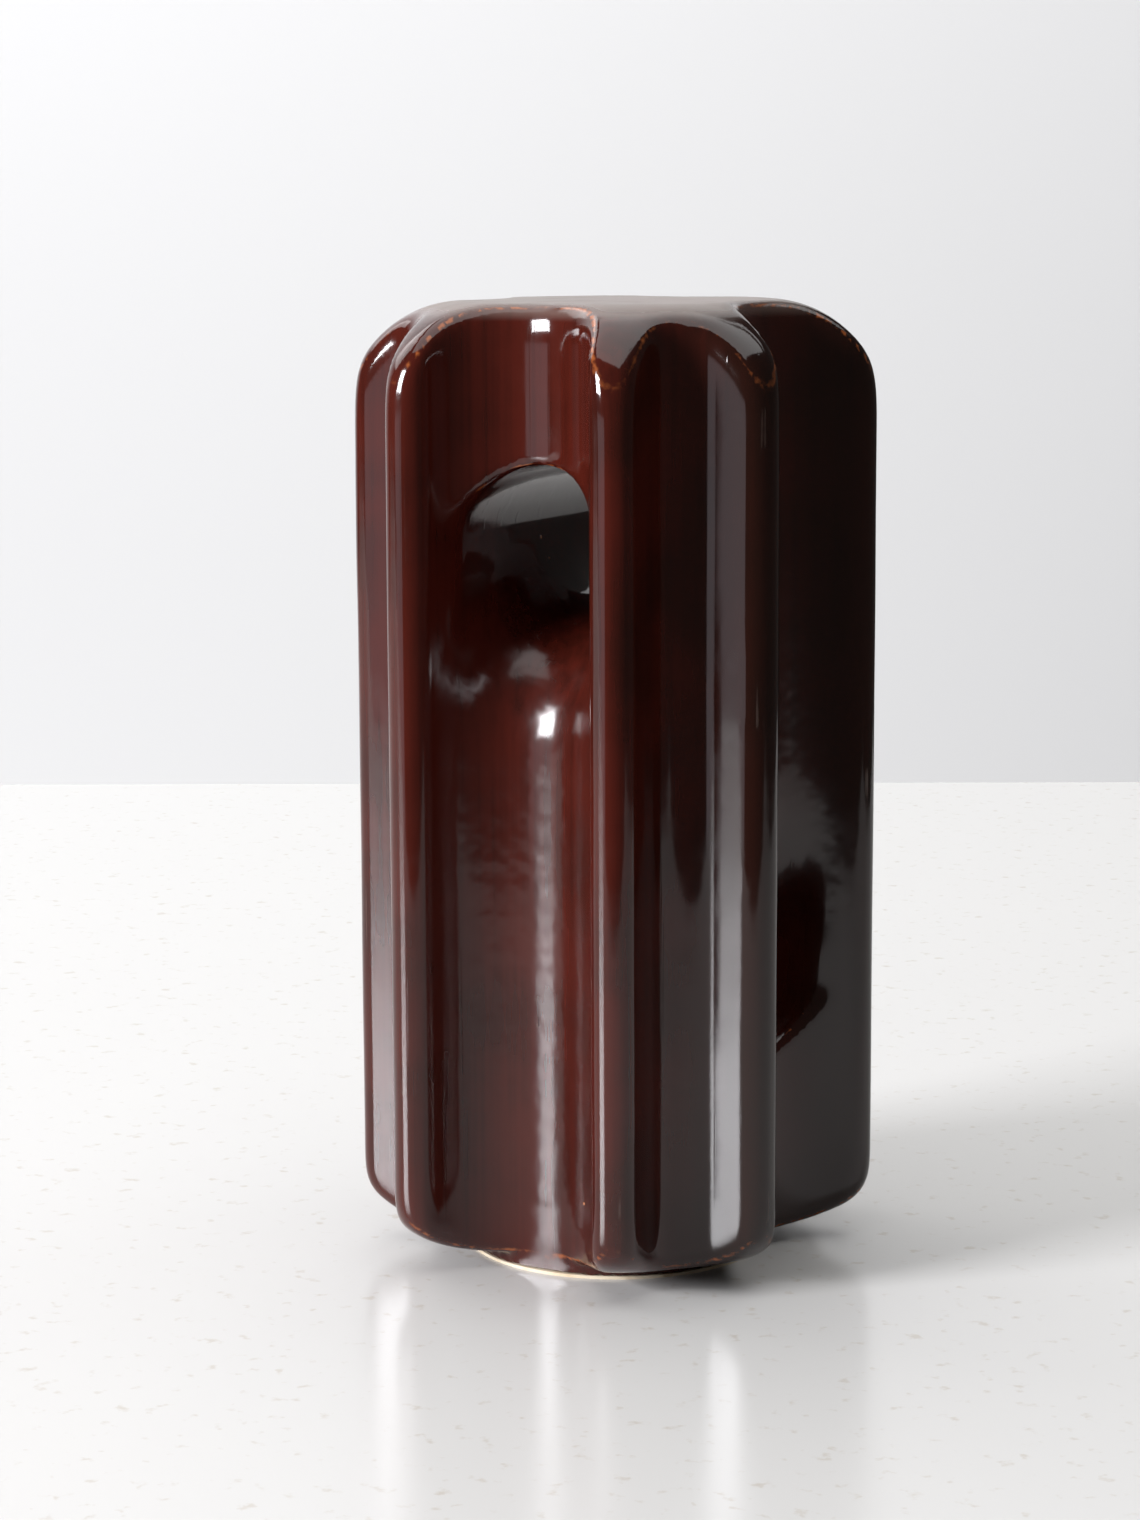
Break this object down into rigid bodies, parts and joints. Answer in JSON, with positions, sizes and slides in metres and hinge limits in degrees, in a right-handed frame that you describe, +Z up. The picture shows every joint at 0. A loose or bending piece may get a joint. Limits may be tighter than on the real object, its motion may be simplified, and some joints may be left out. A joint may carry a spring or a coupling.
{
  "type": "guy strain insulator",
  "caption": "Fluted brown-glazed porcelain strain insulator with crossed cable holes, standing on a bare ceramic foot.",
  "frame": {"origin": "centre of the foot, on the ground", "axes": "+Z up along the body's axis, the upper cable hole runs along Y and the lower one along X"},
  "size_m": [0.0792, 0.0792, 0.1635],
  "materials": {
    "porcelain": "bare fired porcelain, matte cream",
    "glaze": "dark red-brown high-gloss glaze, rust-orange where it thins on edges"
  },
  "bodies": {
    "root": {"porcelain_body": "porcelain", "glaze_coat": "glaze"}
  },
  "joints": []
}
